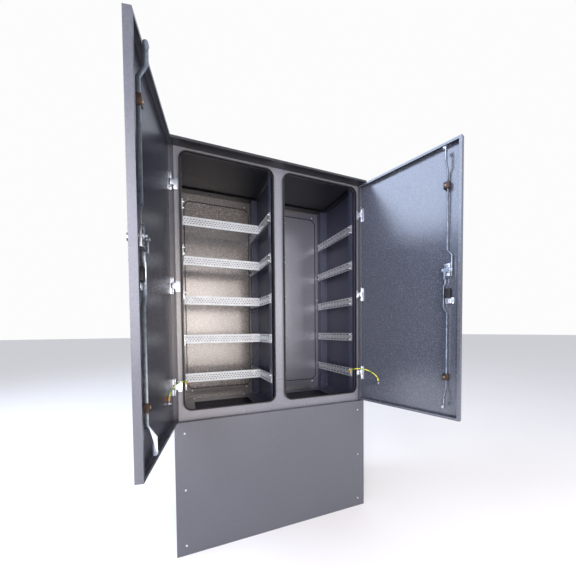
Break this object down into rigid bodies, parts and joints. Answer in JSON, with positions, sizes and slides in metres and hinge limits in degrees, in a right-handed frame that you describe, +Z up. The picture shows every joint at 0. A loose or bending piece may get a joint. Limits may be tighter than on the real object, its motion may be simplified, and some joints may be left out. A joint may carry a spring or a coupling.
{
  "type": "roadside utility cabinet",
  "caption": "Free-standing two-door sheet steel outdoor cabinet on a plinth, with perforated equipment rails and straps, rod locks and earthed doors, shown open.",
  "frame": {"origin": "middle of the plinth's footprint, on the ground, at the centre of the anchor holes", "axes": "+X towards the right door's side, +Y from the doors towards the rear wall, +Z up"},
  "size_m": [1.3846, 1.0023, 1.99],
  "materials": {
    "powder_coat": "fine-textured dark grey powder coat",
    "galvanised_steel": "galvanised sheet",
    "zinc_plate": "bright zinc plating",
    "edge_seal_rubber": "matt black rubber",
    "guide_plastic": "dark brown moulded plastic",
    "handle_plastic": "black fine-textured moulded plastic",
    "wire_insulation": "green and yellow striped insulation"
  },
  "bodies": {
    "cabinet": {"base_frame": "powder_coat", "plinth_front_cover": "powder_coat", "plinth_rear_cover": "powder_coat", "plinth_side_panels": "powder_coat", "cover_screws": "zinc_plate", "floor_plate": "powder_coat", "floor_bolts": "zinc_plate", "left_wall": "powder_coat", "right_wall": "powder_coat", "divider": "powder_coat", "front_frame": "powder_coat", "rear_frame": "powder_coat", "rear_panels": "powder_coat", "roof": "powder_coat", "opening_seals": "edge_seal_rubber", "left_wall_posts": "powder_coat", "left_divider_posts": "powder_coat", "right_divider_posts": "powder_coat", "right_wall_posts": "powder_coat", "left_wall_rails": "galvanised_steel", "left_divider_rails": "galvanised_steel", "right_divider_rails": "galvanised_steel", "right_wall_rails": "galvanised_steel", "cross_strap_1": "galvanised_steel", "cross_strap_2": "galvanised_steel", "cross_strap_3": "galvanised_steel", "cross_strap_4": "galvanised_steel", "cross_strap_5": "galvanised_steel", "rail_screws": "zinc_plate", "hinge_frame_leaves": "zinc_plate", "hinge_pins": "zinc_plate", "earth_lugs": "zinc_plate", "left_earth_wire": "wire_insulation", "right_earth_wire": "wire_insulation"},
    "left_door": {"left_door": "powder_coat", "left_hinge_leaves": "zinc_plate", "left_lock_case": "zinc_plate", "left_handle_plate": "handle_plastic", "left_rod_guides": "guide_plastic", "left_earth_stud": "zinc_plate"},
    "right_door": {"right_door": "powder_coat", "right_hinge_leaves": "zinc_plate", "right_lock_case": "zinc_plate", "right_handle_plate": "handle_plastic", "right_rod_guides": "guide_plastic", "right_earth_stud": "zinc_plate"},
    "left_spindle": {"left_spindle": "zinc_plate"},
    "left_handle": {"left_handle": "handle_plastic"},
    "left_lock_barrel": {"left_lock_barrel": "zinc_plate"},
    "left_upper_rod": {"left_upper_rod": "zinc_plate"},
    "left_lower_rod": {"left_lower_rod": "zinc_plate"},
    "left_upper_roller": {"left_upper_roller": "zinc_plate"},
    "left_lower_roller": {"left_lower_roller": "zinc_plate"},
    "right_spindle": {"right_spindle": "zinc_plate"},
    "right_handle": {"right_handle": "handle_plastic"},
    "right_lock_barrel": {"right_lock_barrel": "zinc_plate"},
    "right_upper_rod": {"right_upper_rod": "zinc_plate"},
    "right_lower_rod": {"right_lower_rod": "zinc_plate"},
    "right_upper_roller": {"right_upper_roller": "zinc_plate"},
    "right_lower_roller": {"right_lower_roller": "zinc_plate"}
  },
  "joints": [
    {"name": "left_door_swing", "type": "hinge", "parent": "cabinet", "child": "left_door", "pos_m": [-0.542, -0.227, 1.319], "axis": [0, 0, 1], "range_deg": [-29.6, 100.4], "deforming": ["left_earth_wire"]},
    {"name": "left_spindle_turn", "type": "hinge", "parent": "left_door", "child": "left_spindle", "pos_m": [-0.63196, -0.70054, 1.375], "axis": [-0.9836, 0.1805, 0], "range_deg": [0, 90]},
    {"name": "left_handle_lift", "type": "hinge", "parent": "left_spindle", "child": "left_handle", "pos_m": [-0.65803, -0.69576, 1.375], "axis": [0, 0, 1], "range_deg": [0, 35]},
    {"name": "left_lock_turn", "type": "hinge", "parent": "left_door", "child": "left_lock_barrel", "pos_m": [-0.63724, -0.7016, 1.231], "axis": [-0.9836, 0.1805, 0], "range_deg": [0, 90]},
    {"name": "left_upper_rod_slide", "type": "slide", "parent": "left_door", "child": "left_upper_rod", "axis": [0, 0, 1], "range_m": [0, 0.015]},
    {"name": "left_lower_rod_slide", "type": "slide", "parent": "left_door", "child": "left_lower_rod", "axis": [0, 0, -1], "range_m": [0, 0.015]},
    {"name": "left_upper_roller_spin", "type": "hinge", "parent": "left_upper_rod", "child": "left_upper_roller", "pos_m": [-0.59917, -0.69914, 1.941], "axis": [-0.1805, -0.9836, 0], "continuous": true},
    {"name": "left_lower_roller_spin", "type": "hinge", "parent": "left_lower_rod", "child": "left_lower_roller", "pos_m": [-0.59917, -0.69914, 0.7225], "axis": [-0.1805, -0.9836, 0], "continuous": true},
    {"name": "right_door_swing", "type": "hinge", "parent": "cabinet", "child": "right_door", "pos_m": [0.542, -0.227, 1.319], "axis": [0, 0, -1], "range_deg": [-22.6, 107.4], "deforming": ["right_earth_wire"]},
    {"name": "right_spindle_turn", "type": "hinge", "parent": "right_door", "child": "right_spindle", "pos_m": [0.689, -0.68605, 1.375], "axis": [-0.9542, -0.299, 0], "range_deg": [0, 90]},
    {"name": "right_handle_lift", "type": "hinge", "parent": "right_spindle", "child": "right_handle", "pos_m": [0.71429, -0.67812, 1.375], "axis": [0, 0, -1], "range_deg": [0, 35]},
    {"name": "right_lock_turn", "type": "hinge", "parent": "right_door", "child": "right_lock_barrel", "pos_m": [0.69437, -0.68646, 1.231], "axis": [-0.9542, -0.299, 0], "range_deg": [0, 90]},
    {"name": "right_upper_rod_slide", "type": "slide", "parent": "right_door", "child": "right_upper_rod", "axis": [0, 0, 1], "range_m": [0, 0.015]},
    {"name": "right_lower_rod_slide", "type": "slide", "parent": "right_door", "child": "right_lower_rod", "axis": [0, 0, -1], "range_m": [0, 0.015]},
    {"name": "right_upper_roller_spin", "type": "hinge", "parent": "right_upper_rod", "child": "right_upper_roller", "pos_m": [0.65628, -0.68865, 1.941], "axis": [0.299, -0.9542, 0], "continuous": true},
    {"name": "right_lower_roller_spin", "type": "hinge", "parent": "right_lower_rod", "child": "right_lower_roller", "pos_m": [0.65628, -0.68865, 0.7225], "axis": [0.299, -0.9542, 0], "continuous": true}
  ],
  "couplings": [
    {"joint": "left_upper_rod_slide", "follows": "left_spindle_turn", "m_per_rad": 0.009549},
    {"joint": "left_lower_rod_slide", "follows": "left_spindle_turn", "m_per_rad": 0.009549},
    {"joint": "right_upper_rod_slide", "follows": "right_spindle_turn", "m_per_rad": 0.009549},
    {"joint": "right_lower_rod_slide", "follows": "right_spindle_turn", "m_per_rad": 0.009549}
  ]
}
